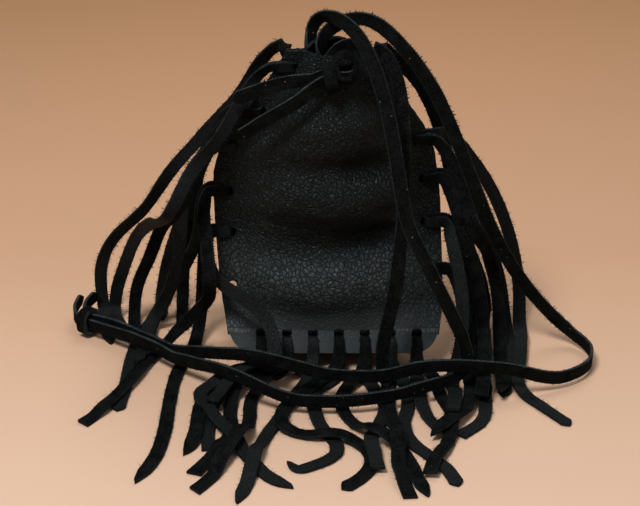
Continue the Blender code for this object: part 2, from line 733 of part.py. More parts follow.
# The knot is a short band of thong drawn round the neck thong's two ends: its middle, the way through
# it, its lean, and how far its middle surface reaches to the side and up.
NECK_KNOT = ((-91.6, -7.2, 6.0), (-0.78, 0.62, 0.0), 0.0, 3.7, 4.2)
KNOT_BAND = 4.2
KNOT_SIDES = 16


def build():
    clear_scene()
    bag = new_collection("medicine_bag")
    guides = new_collection("cutters")
    grain = leather("black_pebbled_leather", (0.018, 0.018, 0.020), 0.5)
    thong = leather("black_thong_leather", (0.022, 0.022, 0.024), 0.75)
    strap = leather("black_neck_leather", (0.026, 0.025, 0.026), 0.7)

    front_shape = (FRONT_LEVELS, 2.2, -1)
    back_shape = (back_levels(), 2.6, 1)
    left = [side_hole(-1, share) for share in LEFT_HOLES]
    right = [side_hole(1, share) for share in RIGHT_HOLES]
    bottom = [bottom_hole(FIRST_BOTTOM_HOLE + LACE_PITCH_BOTTOM * k) for k in range(BOTTOM_HOLES)]
    empty = side_hole(-1, EMPTY_HOLE)
    left.insert(0, corner_hole(-1, both=False))
    right.insert(0, corner_hole(1, both=True))
    neck = rim_hole(NECK_RIM_X, *back_shape)
    tie = rim_hole(TIE_X, *front_shape)

    through = hole_cutters("seam_punches", left + right + bottom + [empty], guides)
    back_rim = hole_cutters("back_rim_punch", [neck], guides)
    front_rim = hole_cutters("front_rim_punch", [tie], guides)
    panel("bag_front_panel", *front_shape, bag, grain, [through, front_rim])
    panel("bag_back_panel", *back_shape, bag, grain, [through, back_rim])

    laid = ({}, [])
    for k, tails in enumerate(BOTTOM_TAILS):
        laced_thong(f"fringe_thong_bottom_{k + 1}", bottom[k], tails, laid, bag, thong)
    for k in reversed(range(len(LEFT_TAILS))):
        laced_thong(f"fringe_thong_left_{k + 1}", left[k], LEFT_TAILS[k], laid, bag, thong)
    for k in reversed(range(len(RIGHT_TAILS))):
        laced_thong(f"fringe_thong_right_{k + 1}", right[k], RIGHT_TAILS[k], laid, bag, thong)
    ways = (tie.along, Vector((-1.0, 0.0, 0.0)))
    laced_thong("drawstring", tie, (TIE_LEFT, TIE_LOOP), laid, bag, strap, ways=ways, hung=False)
    ways = (neck.out, neck.out)
    laced_thong("neck_thong", neck, (NECK_OUTER, NECK_NEARER), laid, bag, strap, ways=ways, on_edge=True, hung=False)
    knot("neck_thong_knot", *NECK_KNOT, bag, strap)


build()
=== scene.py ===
# Black leather medicine bag with long thong fringe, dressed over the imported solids.
# Metres, +Z up, the bag's front looks along -Y.
import bpy
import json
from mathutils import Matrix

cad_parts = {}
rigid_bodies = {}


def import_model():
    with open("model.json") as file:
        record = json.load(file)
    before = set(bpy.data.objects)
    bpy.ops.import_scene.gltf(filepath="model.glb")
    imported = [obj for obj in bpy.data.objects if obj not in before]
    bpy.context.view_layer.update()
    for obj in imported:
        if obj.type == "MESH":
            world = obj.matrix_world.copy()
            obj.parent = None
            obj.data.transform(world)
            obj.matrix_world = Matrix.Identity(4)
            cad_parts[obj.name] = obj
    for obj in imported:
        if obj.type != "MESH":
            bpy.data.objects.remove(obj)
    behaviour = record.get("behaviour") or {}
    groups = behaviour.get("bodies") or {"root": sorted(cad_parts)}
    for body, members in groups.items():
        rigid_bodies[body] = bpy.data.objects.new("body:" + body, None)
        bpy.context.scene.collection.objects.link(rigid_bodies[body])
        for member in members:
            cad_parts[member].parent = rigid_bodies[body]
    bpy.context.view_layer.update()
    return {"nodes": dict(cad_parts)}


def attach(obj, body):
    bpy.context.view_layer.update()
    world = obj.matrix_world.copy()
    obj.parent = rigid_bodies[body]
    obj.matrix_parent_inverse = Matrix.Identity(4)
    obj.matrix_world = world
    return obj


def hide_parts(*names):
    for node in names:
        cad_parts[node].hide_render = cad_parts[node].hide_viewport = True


for old in list(bpy.data.objects):
    bpy.data.objects.remove(old, do_unlink=True)
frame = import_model()

import json
import math
import random
from mathutils import Vector, noise

mm = 0.001
scene = bpy.context.scene
scene.view_settings.view_transform = "Standard"

# Camera: same angle as the photo, a long lens about 60 cm off.
camera = {"elevation": 25, "distance": 0.6, "lens": 90, "target": (-0.0022, -0.012, 0.037)}


def addCamera(c):
    tilt = math.radians(c["elevation"])
    back = Vector((0, -math.cos(tilt), math.sin(tilt)))
    data = bpy.data.cameras.new("camera")
    data.lens = c["lens"]
    made = bpy.data.objects.new("camera", data)
    scene.collection.objects.link(made)
    made.location = Vector(c["target"]) + back * c["distance"]
    made.rotation_mode = "QUATERNION"
    made.rotation_quaternion = (-back).to_track_quat("-Z", "Y")
    scene.camera = made


addCamera(camera)
print("camera set")


# Node materials.

def newMaterial(name):
    made = bpy.data.materials.new(name)
    made.use_nodes = True
    tree = made.node_tree
    return made, tree, tree.nodes["Principled BSDF"]


def addNode(tree, kind, values=None, **settings):
    made = tree.nodes.new(kind)
    for key, value in settings.items():
        setattr(made, key, value)
    for key, value in (values or {}).items():
        made.inputs[key].default_value = value
    return made


def ramp(tree, source, stops):
    made = tree.nodes.new("ShaderNodeValToRGB")
    points = made.color_ramp.elements
    while len(points) < len(stops):
        points.new(0.5)
    for point, (place, colour) in zip(points, stops):
        point.position = place
        point.color = (*colour, 1) if len(colour) == 3 else colour
    tree.links.new(source, made.inputs[0])
    return made


def grey(value):
    return (value, value, value)


def flatPattern(tree):
    # texture place on the cut-out leather, in millimetres
    uv = addNode(tree, "ShaderNodeUVMap", uv_map="flat")
    made = addNode(tree, "ShaderNodeMapping", {"Scale": (1 / mm, 1 / mm, 1 / mm)})
    tree.links.new(uv.outputs[0], made.inputs[0])
    return made.outputs[0]


def maths(tree, kind, *values):
    # one sum on numbers or sockets; MULTIPLY_ADD takes a third to add
    made = tree.nodes.new("ShaderNodeMath")
    made.operation = kind
    for socket, value in zip(made.inputs, values):
        if isinstance(value, (int, float)):
            socket.default_value = value
        else:
            tree.links.new(value, socket)
    return made.outputs[0]


# how much each layer of the grain counts, in the relief, the colour and the shine, with painted shade
# darkening the dents and painted light brightening the lower belly
grain = {"warpSize": 0.3, "warp": 1.5, "fineShare": 2.2, "fine": 0.34, "pores": 5, "poreDepth": 0.12,
         "paintedShade": -0.8, "paintedLight": 3.4, "topShine": -0.42, "patches": 0.06}
coolShine = (0.76, 0.93, 0.96, 1)


def pebbledLeather(name, look):
    # tumbled grain: rounded pebbles split by creases darkened with painted shade, their tops rubbed a
    # little shinier
    made, tree, shader = newMaterial(name)
    place = flatPattern(tree)
    warp = addNode(tree, "ShaderNodeTexNoise", {"Scale": grain["warpSize"], "Detail": 2})
    tree.links.new(place, warp.inputs["Vector"])
    shift = addNode(tree, "ShaderNodeVectorMath", operation="MULTIPLY_ADD")
    shift.inputs[1].default_value = (grain["warp"], grain["warp"], 0)
    tree.links.new(warp.outputs["Color"], shift.inputs[0])
    tree.links.new(place, shift.inputs[2])
    cells = addNode(tree, "ShaderNodeTexVoronoi", {"Scale": 1 / look["pebble"]},
                    feature="DISTANCE_TO_EDGE")
    small = addNode(tree, "ShaderNodeTexVoronoi", {"Scale": grain["fineShare"] / look["pebble"]},
                    feature="DISTANCE_TO_EDGE")
    pores = addNode(tree, "ShaderNodeTexNoise", {"Scale": grain["pores"], "Detail": 3})
    for t in (cells, small, pores):
        tree.links.new(shift.outputs[0], t.inputs["Vector"])
    dome = ramp(tree, cells.outputs["Distance"],
                [(0, grey(0)), (0.05, grey(0.35)), (0.15, grey(0.62)), (0.35, grey(0.88)),
                 (0.6, grey(1))])
    fine = ramp(tree, small.outputs["Distance"], [(0, grey(0)), (0.15, grey(0.6)), (0.4, grey(1))])
    patches = addNode(tree, "ShaderNodeTexNoise", {"Scale": grain["patches"], "Detail": 3})
    tree.links.new(place, patches.inputs["Vector"])
    height = maths(tree, "MULTIPLY_ADD", fine.outputs[0], grain["fine"], dome.outputs[0])
    paint = addNode(tree, "ShaderNodeVertexColor", layer_name="smoothAndPaintedLight")
    smoothAndPaintedLight = addNode(tree, "ShaderNodeSeparateColor")  # smooth strip with painted light, painted light on the lower belly, painted shade in the dents
    tree.links.new(paint.outputs[0], smoothAndPaintedLight.inputs[0])
    keep = maths(tree, "SUBTRACT", 1.0, smoothAndPaintedLight.outputs[0])
    level = maths(tree, "MULTIPLY", height, keep)
    grit = maths(tree, "MULTIPLY_ADD", pores.outputs["Fac"], grain["poreDepth"], level)
    bump = addNode(tree, "ShaderNodeBump", {"Strength": look["relief"], "Distance": look["deep"]})
    tree.links.new(grit, bump.inputs["Height"])
    tree.links.new(bump.outputs[0], shader.inputs["Normal"])
    # painted shade: the colour darkens into the creases between pebbles
    tone = ramp(tree, dome.outputs[0], [(0, look["crease"]), (0.75, look["colour"])])
    # painted light: the smooth strip along the bottom seam is lightened over the shade the belly
    # casts on it
    plain = ramp(tree, smoothAndPaintedLight.outputs[0], [(0.25, grey(0)), (0.9, look["smooth"])])
    # painted shade: the colour darkens in the dents pressed into the front
    dimmed = maths(tree, "MULTIPLY_ADD", smoothAndPaintedLight.outputs[2], grain["paintedShade"], 1.0)
    # painted light: the colour brightens in a band round the lower belly
    paintedLight = maths(tree, "MULTIPLY_ADD", smoothAndPaintedLight.outputs[1], grain["paintedLight"], dimmed)
    toned = addNode(tree, "ShaderNodeVectorMath", operation="SCALE")
    tree.links.new(tone.outputs[0], toned.inputs[0])
    tree.links.new(paintedLight, toned.inputs["Scale"])
    mixed = addNode(tree, "ShaderNodeVectorMath", operation="ADD")
    tree.links.new(toned.outputs[0], mixed.inputs[0])
    tree.links.new(plain.outputs[0], mixed.inputs[1])
    tree.links.new(mixed.outputs[0], shader.inputs["Base Color"])
    rough = ramp(tree, patches.outputs["Fac"],
                 [(0.35, grey(look["rough"][0])), (0.65, grey(look["rough"][1]))])
    worn = maths(tree, "MULTIPLY_ADD", dome.outputs[0], grain["topShine"], rough.outputs[0])
    tree.links.new(worn, shader.inputs["Roughness"])
    shader.inputs["Specular IOR Level"].default_value = look["gloss"]
    shader.inputs["Specular Tint"].default_value = coolShine
    return made


nap = {"size": 1.1, "detail": 6, "rough": 0.8, "cloudSize": 0.22, "cloud": 0.4, "deep": 0.6 * mm}


def suedeLeather(name, look):
    # napped flesh side: matt, faintly cloudy, with tiny pits
    made, tree, shader = newMaterial(name)
    place = flatPattern(tree)
    pile = addNode(tree, "ShaderNodeTexNoise",
                   {"Scale": nap["size"], "Detail": nap["detail"], "Roughness": nap["rough"]})
    cloud = addNode(tree, "ShaderNodeTexNoise", {"Scale": nap["cloudSize"], "Detail": 2})
    for t in (pile, cloud):
        tree.links.new(place, t.inputs["Vector"])
    both = maths(tree, "MULTIPLY_ADD", cloud.outputs["Fac"], nap["cloud"], pile.outputs["Fac"])
    mean = maths(tree, "MULTIPLY", both, 0.71)
    tone = ramp(tree, mean, [(0.42, look["dark"]), (0.6, look["light"])])
    tree.links.new(tone.outputs[0], shader.inputs["Base Color"])
    bump = addNode(tree, "ShaderNodeBump", {"Strength": 0.9, "Distance": nap["deep"]})
    tree.links.new(pile.outputs["Fac"], bump.inputs["Height"])
    tree.links.new(bump.outputs[0], shader.inputs["Normal"])
    shader.inputs["Roughness"].default_value = look["rough"]
    shader.inputs["Specular IOR Level"].default_value = look["specular"]
    shader.inputs["Specular Tint"].default_value = coolShine
    return made


# crease colours are painted shade in the pebble creases; smooth colours are painted light for the
# front's bottom strip
leathers = {
    "front": pebbledLeather("grain_front", {
        "pebble": 1.65, "relief": 1.0, "deep": 0.0004, "rough": (0.56, 0.68), "gloss": 0.2,
        "crease": (0.001, 0.001, 0.0012), "colour": (0.0068, 0.0082, 0.0081),
        "smooth": (0.034, 0.037, 0.0375),
    }),
    "thongGrain": pebbledLeather("thong_grain", {
        "pebble": 0.9, "relief": 0.7, "deep": 0.00015, "rough": (0.85, 0.95), "gloss": 0.16,
        "crease": (0.001, 0.001, 0.0012), "colour": (0.0082, 0.0085, 0.0084),
        "smooth": (0.0082, 0.0085, 0.0084),
    }),
    "suede": suedeLeather("suede", {
        "dark": (0.0011, 0.0011, 0.0011), "light": (0.0098, 0.0101, 0.0098),
        "rough": 0.9, "specular": 0.05,
    }),
    "edge": suedeLeather("cut_edge", {
        "dark": (0.005, 0.006, 0.0066), "light": (0.019, 0.023, 0.0245),
        "rough": 0.85, "specular": 0.08,
    }),
    "neck": suedeLeather("neck_face", {
        "dark": (0.0011, 0.0012, 0.0011), "light": (0.0084, 0.009, 0.0086),
        "rough": 0.8, "specular": 0.05,
    }),
    "neckEdge": suedeLeather("neck_edge", {
        "dark": (0.013, 0.016, 0.017), "light": (0.046, 0.056, 0.059),
        "rough": 0.8, "specular": 0.1,
    }),
    "inside": suedeLeather("inside", {
        "dark": (0.001, 0.001, 0.001), "light": (0.004, 0.004, 0.0045),
        "rough": 0.95, "specular": 0.05,
    }),
}
print("leathers mixed")


# Thongs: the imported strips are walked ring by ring, then redrawn fine and rounded.

def neighboursOf(faces):
    near = {}
    for three in faces:
        for a in three:
            near.setdefault(a, set()).update(b for b in three if b != a)
    return near


def layersFrom(start, near):
    layers, seen = [list(start)], set(start)
    while True:
        ahead = sorted({b for a in layers[-1] for b in near[a]} - seen)
        if not ahead:
            return layers
        seen.update(ahead)
        layers.append(ahead)


def ringsOf(node):
    mesh = frame["nodes"][node].data
    ids, faces = {}, []
    for face in mesh.polygons:
        keys = [tuple(round(c, 6) for c in mesh.vertices[i].co) for i in face.vertices]
        faces.append([ids.setdefault(key, len(ids)) for key in keys])
    spots = [Vector(key) for key in ids]
    near = neighboursOf(faces)
    tip = layersFrom([0], near)[-1][0]
    ends = [set(f) for f in faces if tip in f]
    for one in ends:
        for other in faces:
            quad = one | set(other)
            if len(quad) == 4 and one != set(other):
                layers = layersFrom(sorted(quad), near)
                if all(len(layer) == 4 for layer in layers):
                    return [[spots[i] for i in layer] for layer in layers]
    raise ValueError("no end found on " + node)


def strapOf(node):
    # middle, width direction and width of each ring of a strip
    found = []
    for four in ringsOf(node):
        pairs = [((0, 1), (2, 3)), ((0, 2), (1, 3)), ((0, 3), (1, 2))]
        (a, b), (c, d) = min(pairs, key=lambda p: sum((four[i] - four[j]).length for i, j in p))
        one, two = (four[a] + four[b]) / 2, (four[c] + four[d]) / 2
        across = two - one
        if found and across.dot(found[-1][1]) < 0:
            across = -across
        found.append(((one + two) / 2, across.normalized(), across.length))
    return found


def curveAt(points, t):
    last = len(points) - 1
    i = min(int(t), last - 1)
    f = t - i
    p1, p2 = points[i], points[i + 1]
    size = (p2 - p1).length

    def slope(before, at, after):
        a, b = max((at - before).length, 1e-9), max((after - at).length, 1e-9)
        return ((at - before) * (b / a) + (after - at) * (a / b)) / (a + b) * size

    m1 = slope(points[i - 1], p1, p2) if i else p2 - p1
    m2 = slope(p1, p2, points[i + 2]) if i + 2 <= last else p2 - p1
    f2, f3 = f * f, f * f * f
    start = p1 * (2 * f3 - 3 * f2 + 1) + m1 * (f3 - 2 * f2 + f)
    return start + p2 * (3 * f2 - 2 * f3) + m2 * (f3 - f2)


def fineStrap(rings, step=1.1 * mm):
    # even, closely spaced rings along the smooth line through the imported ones
    middles = [r[0] for r in rings]
    rows, walked = [], 0.0
    for i in range(len(rings) - 1):
        parts = max(1, round((middles[i + 1] - middles[i]).length / step))
        for k in range(parts):
            f = k / parts
            at = curveAt(middles, i + f)
            soft = f * f * (3 - 2 * f)
            across = rings[i][1].lerp(rings[i + 1][1], soft).normalized()
            width = rings[i][2] * (1 - f) + rings[i + 1][2] * f
            if rows:
                walked += (at - rows[-1][0]).length
            rows.append((at, across, width, walked))
    at, across, width = rings[-1]
    rows.append((at, across, width, walked + (at - rows[-1][0]).length))
    return rows


def between(value, low, high):
    # 0 up to low, rising evenly to 1 at high
    return min(1.0, max(0.0, (value - low) / (high - low)))


def relax(rows, passes=26):
    # hanging stretches settle into calm curves
    # the narrow pass through the hole and what lies near the floor stay put
    free = [between(r[2] / mm, 4.5, 4.8) * between(r[0].z / mm, 5, 13) for r in rows]
    spots = [r[0].copy() for r in rows]
    for _ in range(passes):
        before = [s.copy() for s in spots]
        for k in range(1, len(rows) - 1):
            spots[k] = before[k].lerp((before[k - 1] + before[k + 1]) / 2, 0.6 * free[k])
    settled, walked = [], 0.0
    for k, spot in enumerate(spots):
        if k:
            walked += (spot - spots[k - 1]).length
        settled.append((spot, rows[k][1], rows[k][2], walked))
    return settled


section = [  # across, through; then the face each stretch belongs to
    (-0.47, 0.5), (-0.17, 0.52), (0.17, 0.52), (0.47, 0.5), (0.5, 0.34), (0.5, -0.34),
    (0.47, -0.5), (0.17, -0.48), (-0.17, -0.48), (-0.47, -0.5), (-0.5, -0.34), (-0.5, 0.34),
]
sectionFace = [0, 0, 0, 2, 2, 2, 1, 1, 1, 2, 2, 2]


# how a thong strays from a plain strip: waves per metre, and how far each goes
stray = {"twist": 38, "thick": (90, 0.16), "wide": (70, 0.09), "cup": (55, 0.16), "edge": 900}


def wave(walked, seed, often, lane):
    return noise.noise(Vector((walked * often, seed, lane)))


def strapMesh(name, rows, look):
    # look: thick, ragged, slants, twist, points (how long each tip tapers), faces (sides, edges)
    seed = sum(ord(c) for c in name) * 0.37
    verts, faces, slots, flats = [], [], [], []
    count, last = len(section), len(rows) - 1
    wide = max(r[2] for r in rows)
    for k, (at, across, width, walked) in enumerate(rows):
        ahead = (rows[min(k + 1, last)][0] - rows[max(k - 1, 0)][0]).normalized()
        across = (across - ahead * across.dot(ahead)).normalized()
        up = ahead.cross(across)
        loose = between(width / mm, 3.6, 4.7)  # 0 where a hole pinches the thong
        high = between(at.z / mm, 6, 20)
        turn = wave(walked, seed, stray["twist"], 0) * look["twist"] * loose * (0.25 + 0.75 * high)
        flat, rise = across, up
        across = flat * math.cos(turn) + rise * math.sin(turn)
        up = rise * math.cos(turn) - flat * math.sin(turn)
        often, far = stray["thick"]
        thick = look["thick"] * (1 + far * wave(walked, seed, often, 3)) * (2.1 - 1.1 * loose)
        often, far = stray["wide"]
        size = width * (1 + far * wave(walked, seed, often, 7)) * (1.12 - 0.12 * loose)
        for gone, length in zip((walked, rows[last][3] - walked), look["points"]):
            if gone < length:
                size *= 0.1 + 0.9 * (gone / length) ** 0.75
        often, far = stray["cup"]
        cup = wave(walked, seed, often, 11) * far * width * loose
        for a, b in section:
            side = 1 if a > 0 else -1
            rag = look["ragged"] * wave(walked, seed + side * 5, stray["edge"], 1)
            lean = 0.0
            if k in (0, last):
                lean = look["slants"][0 if k == 0 else 1] * a
            edge = rag if abs(a) > 0.3 else 0.0
            lift = b * thick + cup * (0.25 - a * a) * 2
            verts.append(at + across * (a * size + side * edge) + up * lift + ahead * lean)
            flats.append((walked + seed * 0.01, a * wide + seed * 0.003))
    for k in range(last):
        for j in range(count):
            n = (j + 1) % count
            a, b = k * count, (k + 1) * count
            faces.append((a + j, b + j, b + n, a + n))
            slots.append(sectionFace[j])
    faces += [tuple(range(count)), tuple(reversed(range(last * count, (last + 1) * count)))]
    slots += [2, 2]
    for spot in verts:
        spot.z = max(spot.z, 0.0001)
    mesh = bpy.data.meshes.new(name)
    mesh.from_pydata(verts, [], faces)
    layer = mesh.uv_layers.new(name="flat")
    for face in mesh.polygons:
        face.material_index = slots[face.index]
        for loop in face.loop_indices:
            layer.data[loop].uv = flats[mesh.loops[loop].vertex_index]
    for material in look["faces"]:
        mesh.materials.append(material)
    mesh.shade_smooth()
    mesh.set_sharp_from_angle(angle=math.radians(30))
    made = bpy.data.objects.new(name, mesh)
    scene.collection.objects.link(made)
    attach(made, "root")
    return made


fuzz = {"verts": [], "faces": [], "half": 0.13 * mm, "bareTip": 8}
dice = random.Random(11)


def addFuzz(rows, thick, longest, perMm=2.2):
    # loose fibres standing off the cut edges, none on the last rows of a tip
    last = len(rows) - 1
    count = int(rows[-1][3] / mm * perMm)
    for _ in range(count):
        k = dice.randrange(fuzz["bareTip"], last - fuzz["bareTip"])
        at, across, width = rows[k][:3]
        ahead = (rows[k + 1][0] - at).normalized()
        up = ahead.cross(across).normalized()
        side = dice.choice((-1, 1))
        root = at + across * (side * width * 0.49) + up * (dice.uniform(-0.4, 0.4) * thick)
        out = across * side + ahead * dice.uniform(-0.9, 0.9) + up * dice.uniform(-0.9, 0.9)
        out.normalize()
        tip = root + out * (longest * dice.uniform(0.25, 1.0))
        if tip.z < 0.2 * mm:
            continue
        half = ahead * fuzz["half"]
        n = len(fuzz["verts"])
        fuzz["verts"] += [root - half, root + half, tip]
        fuzz["faces"].append((n, n + 1, n + 2))


lint = {"verts": [], "faces": [], "slots": [], "halfLong": 0.26 * mm, "halfWide": 0.1 * mm}
lintColours = [(0.015, 0.17, 0.2), (0.36, 0.21, 0.05), (0.1, 0.11, 0.11)]


def addLint(rows, thick, count):
    # stray specks of coloured thread caught on the nap
    for _ in range(count):
        k = dice.randrange(2, len(rows) - 2)
        at, across, width = rows[k][:3]
        ahead = (rows[k + 1][0] - at).normalized()
        up = ahead.cross(across).normalized() * dice.choice((-1, 1))
        spot = at + across * (dice.uniform(-0.45, 0.45) * width) + up * (thick * 0.5 + 0.15 * mm)
        turn = dice.uniform(0, math.pi)
        long = (ahead * math.cos(turn) + across * math.sin(turn)) * lint["halfLong"]
        short = (across * math.cos(turn) - ahead * math.sin(turn)) * lint["halfWide"]
        n = len(lint["verts"])
        lint["verts"] += [spot - long - short, spot + long - short]
        lint["verts"] += [spot + long + short, spot - long + short]
        lint["faces"].append((n, n + 1, n + 2, n + 3))
        lint["slots"].append(dice.choice((0, 0, 0, 1, 1, 2)))


def cutAt(rows, first, last):
    part = rows[first:last + 1]
    start = part[0][3]
    return [(at, across, width, walked - start) for at, across, width, walked in part]


# The neck thong and the drawstring come first: both are free cords.
neckLook = {"thick": 1.15 * mm, "ragged": 0.1 * mm, "slants": (0.5 * mm, -0.5 * mm), "twist": 0.35,
            "points": (0.0, 2 * mm),
            "faces": [leathers["neck"], leathers["neck"], leathers["neckEdge"]]}


def mouthOf(rows):
    # the row inside the punched hole: where the strip doubles back
    def turned(k):
        before, after = rows[k][0] - rows[k - 3][0], rows[k + 3][0] - rows[k][0]
        return before.normalized().dot(after.normalized())
    return min((k for k in range(3, len(rows) - 3) if rows[k][2] < 3.6 * mm), key=turned)


def cordFrom(name, rows):
    made = strapMesh(name, rows, neckLook)
    addFuzz(rows, 1.2 * mm, perMm=4, longest=1.5 * mm)
    addLint(rows, 1.2 * mm, int(rows[-1][3] / mm / 14))
    return made


def knotMesh(name, knot, look):
    # one turn of thong pulled tight round two runs, its end overlapping the start
    axis = Vector(knot["through"]).normalized()
    flat = Vector((0, 0, 1)).cross(axis).normalized()
    level = flat * math.cos(knot["lean"]) + axis.cross(flat) * math.sin(knot["lean"])
    up = axis.cross(level)
    middle, square = Vector(knot["middle"]) * mm, knot["square"]
    turnRows, lapRows, startAt, lap, drift = 52, 5, -1.9, 0.09, 1.1 * mm
    rows, walked = [], 0.0
    for k in range(turnRows + lapRows):
        turn = 2 * math.pi * k / turnRows + startAt
        a, b = math.cos(turn), math.sin(turn)
        grow = (1 + lap * between(k, turnRows - 8, turnRows)) * mm
        spot = middle + level * (knot["side"] * grow * math.copysign(abs(a) ** square, a))
        spot += up * (knot["high"] * grow * math.copysign(abs(b) ** square, b))
        spot += axis * ((k / (turnRows + lapRows - 1) - 0.5) * drift)
        if rows:
            walked += (spot - rows[-1][0]).length
        rows.append((spot, axis, (4.4 + 0.5 * math.sin(k * 0.37)) * mm, walked))
    return strapMesh(name, rows, look)


neckRows = relax(fineStrap(strapOf("neck_thong")))
mid = mouthOf(neckRows)
outerRows = list(reversed(cutAt(neckRows, 0, mid)))
total = outerRows[0][3]
outerRows = [(at, across, width, total - walked) for at, across, width, walked in outerRows]
nearRows = cutAt(neckRows, mid, len(neckRows) - 1)
# knots in mm: lean turns the band about its axis, square flattens its four sides
knots = {
    "neck": {"middle": (-91.6, -7.2, 6.0), "through": (-0.78, 0.62, 0.0), "lean": 0.0,
             "side": 3.7, "high": 4.2, "square": 0.6},
    "band": {"middle": (1.4, -23.4, 109.8), "through": (-1, 0, -0.15), "lean": 0.35,
             "side": 3.3, "high": 4.3, "square": 0.6},
    "ring": {"middle": (6.4, -22.6, 113.6), "through": (-0.2, 0.9, -0.2), "lean": 0.0,
             "side": 3.7, "high": 4.1, "square": 0.85},
}
neckKnot = knotMesh("neck_knot", knots["neck"], {**neckLook, "twist": 0.0})
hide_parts("neck_thong_knot")
outer = cordFrom("neck_thong_outer_run", outerRows)
nearer = cordFrom("neck_thong_nearer_run", nearRows)
tieRows = fineStrap(strapOf("drawstring"))
mid = mouthOf(tieRows)
tieLeft = list(reversed(cutAt(tieRows, 0, mid)))
total = tieLeft[0][3]
tieLeft = [(at, across, width, total - walked) for at, across, width, walked in tieLeft]
tieLoop = cutAt(tieRows, mid, len(tieRows) - 1)
knotLook = {**neckLook, "thick": 1.6 * mm, "twist": 0.5, "ragged": 0.3 * mm,
            "faces": [leathers["neck"]] * 3}
tieKnot = [
    knotMesh("drawstring_band", knots["band"], knotLook),
    knotMesh("drawstring_ring", knots["ring"], knotLook),
]
for piece in tieKnot:
    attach(piece, "root")
ends = [cordFrom("drawstring_left_end", tieLeft),
        cordFrom("drawstring_loop_end", tieLoop)]
for piece in (outer, nearer):
    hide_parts("neck_thong")
for piece in ends:
    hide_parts("drawstring")
print("neck thong and drawstring laid", round(outerRows[-1][3], 3), round(nearRows[-1][3], 3),
      round(tieLeft[-1][3], 3), round(tieLoop[-1][3], 3))

# Fringe.
holes = []
fringe = {"front": [], "back": []}
for row, count in (("bottom", 7), ("left", 5), ("right", 5)):
    for number in range(1, count + 1):
        node = f"fringe_thong_{row}_{number}"
        rows = relax(fineStrap(strapOf(node)))
        k = mouthOf(rows)
        holes.append((rows[k][0], (rows[k + 1][0] - rows[k - 1][0]).normalized()))
        sides = [leathers["suede"], leathers["thongGrain"]]
        if (number + len(row)) % 3 == 0:
            sides.reverse()
        look = {"thick": 1.05 * mm, "ragged": 0.16 * mm, "twist": 1.0,
                "faces": sides + [leathers["edge"]],
                "points": (dice.choice((0, 0, 3, 7)) * mm, dice.choice((0, 0, 2, 6)) * mm),
                "slants": (dice.uniform(-1.2, 1.2) * mm, dice.uniform(-1.2, 1.2) * mm)}
        made = strapMesh(f"thong_{row}_{number}", rows, look)
        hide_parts(node)
        addFuzz(rows, 1.2 * mm, longest=1.6 * mm)
        addLint(rows, 1.1 * mm, 2)
        fringe["back" if row == "right" else "front"].append(made)
print("fringe hung:", len(holes), "holes laced")

# Panels.
seamRows = [  # half width, sideways, depth, height as shares of 84, 84, 56 and 116 mm
    (0.417, 0.036, -0.607, 0.054), (0.467, 0.033, -0.530, 0.112), (0.488, 0.030, -0.393, 0.189),
    (0.497, 0.021, -0.268, 0.276), (0.500, 0.012, -0.179, 0.379), (0.500, 0.006, -0.143, 0.483),
    (0.494, 0.000, -0.125, 0.577), (0.470, 0.003, -0.134, 0.664), (0.420, 0.008, -0.143, 0.742),
    (0.350, 0.014, -0.161, 0.810), (0.280, 0.020, -0.179, 0.888), (0.228, 0.026, -0.188, 0.950),
    (0.196, 0.030, -0.196, 1.000),
]
frontRows = [(-0.507, 0.177), (-0.471, 0.254), (-0.420, 0.341), (-0.386, 0.435), (-0.425, 0.530),
             (-0.432, 0.625), (-0.429, 0.715), (-0.411, 0.793), (-0.366, 0.879), (-0.313, 0.940),
             (-0.268, 0.991)]
backRows = [(-0.430, 0.082), (-0.260, -0.048), (0.020, -0.116), (0.270, -0.068), (0.368, 0.103),
            (0.374, 0.241), (0.325, 0.388), (0.255, 0.544), (0.152, 0.698), (0.028, 0.871),
            (-0.0359, 1.013)]
# round softens the step beside the seam
bag = {"wide": 84 * mm, "high": 116 * mm, "deep": 56 * mm, "margin": 7.5 * mm, "flange": 8.6 * mm,
       "thick": 1.3 * mm, "gap": 0.3 * mm, "corner": 5 * mm, "round": 0.035, "tilt": (0.5, 0.866)}


def flange(level):
    # the flat strip of the bottom seam leans back as it rises
    return Vector((seamRows[0][2] * bag["deep"] + bag["tilt"][0] * bag["flange"] * level,
                   seamRows[0][3] * bag["high"] + bag["tilt"][1] * bag["flange"] * level, 0))


seamA = [Vector((r[0] * bag["wide"], r[1] * bag["wide"], 0)) for r in seamRows]
seamB = [Vector((r[2] * bag["deep"], r[3] * bag["high"], 0)) for r in seamRows]
middles = {name: [flange(1)] + [Vector((d * bag["deep"], h * bag["high"], 0)) for d, h in rows]
           for name, rows in (("front", frontRows), ("back", backRows))}


def seamPoint(level):
    size = curveAt(seamA, level)
    side = flange(level) if level <= 1 else curveAt(seamB, level)
    return size.x, size.y, side.x, side.y


def panelRow(which, level, count):
    # one row of the panel's middle surface, from the left edge to the right one
    half, offset, depth, height = seamPoint(level)
    middle = flange(level) if level <= 1 else curveAt(middles[which], level - 1)
    power = {"front": 2.2, "back": 2.6}[which]  # how squarely the panel bulges
    short = max(0.0, bag["corner"] - level * bag["flange"])
    trimmed = half - bag["corner"] + math.sqrt(bag["corner"] ** 2 - short ** 2)
    row = []
    for j in range(count + 1):
        out = 2 * j / count - 1  # -1 at the left edge, 1 at the right one
        fill = 1 - (abs(out) * half / (half - bag["margin"])) ** power
        fill = (fill + math.sqrt(fill * fill + bag["round"])) / 2
        row.append(Vector((out * trimmed + offset, depth + (middle.x - depth) * fill,
                           max(height + (middle.y - height) * fill, bag["thick"] / 2))))
    return row


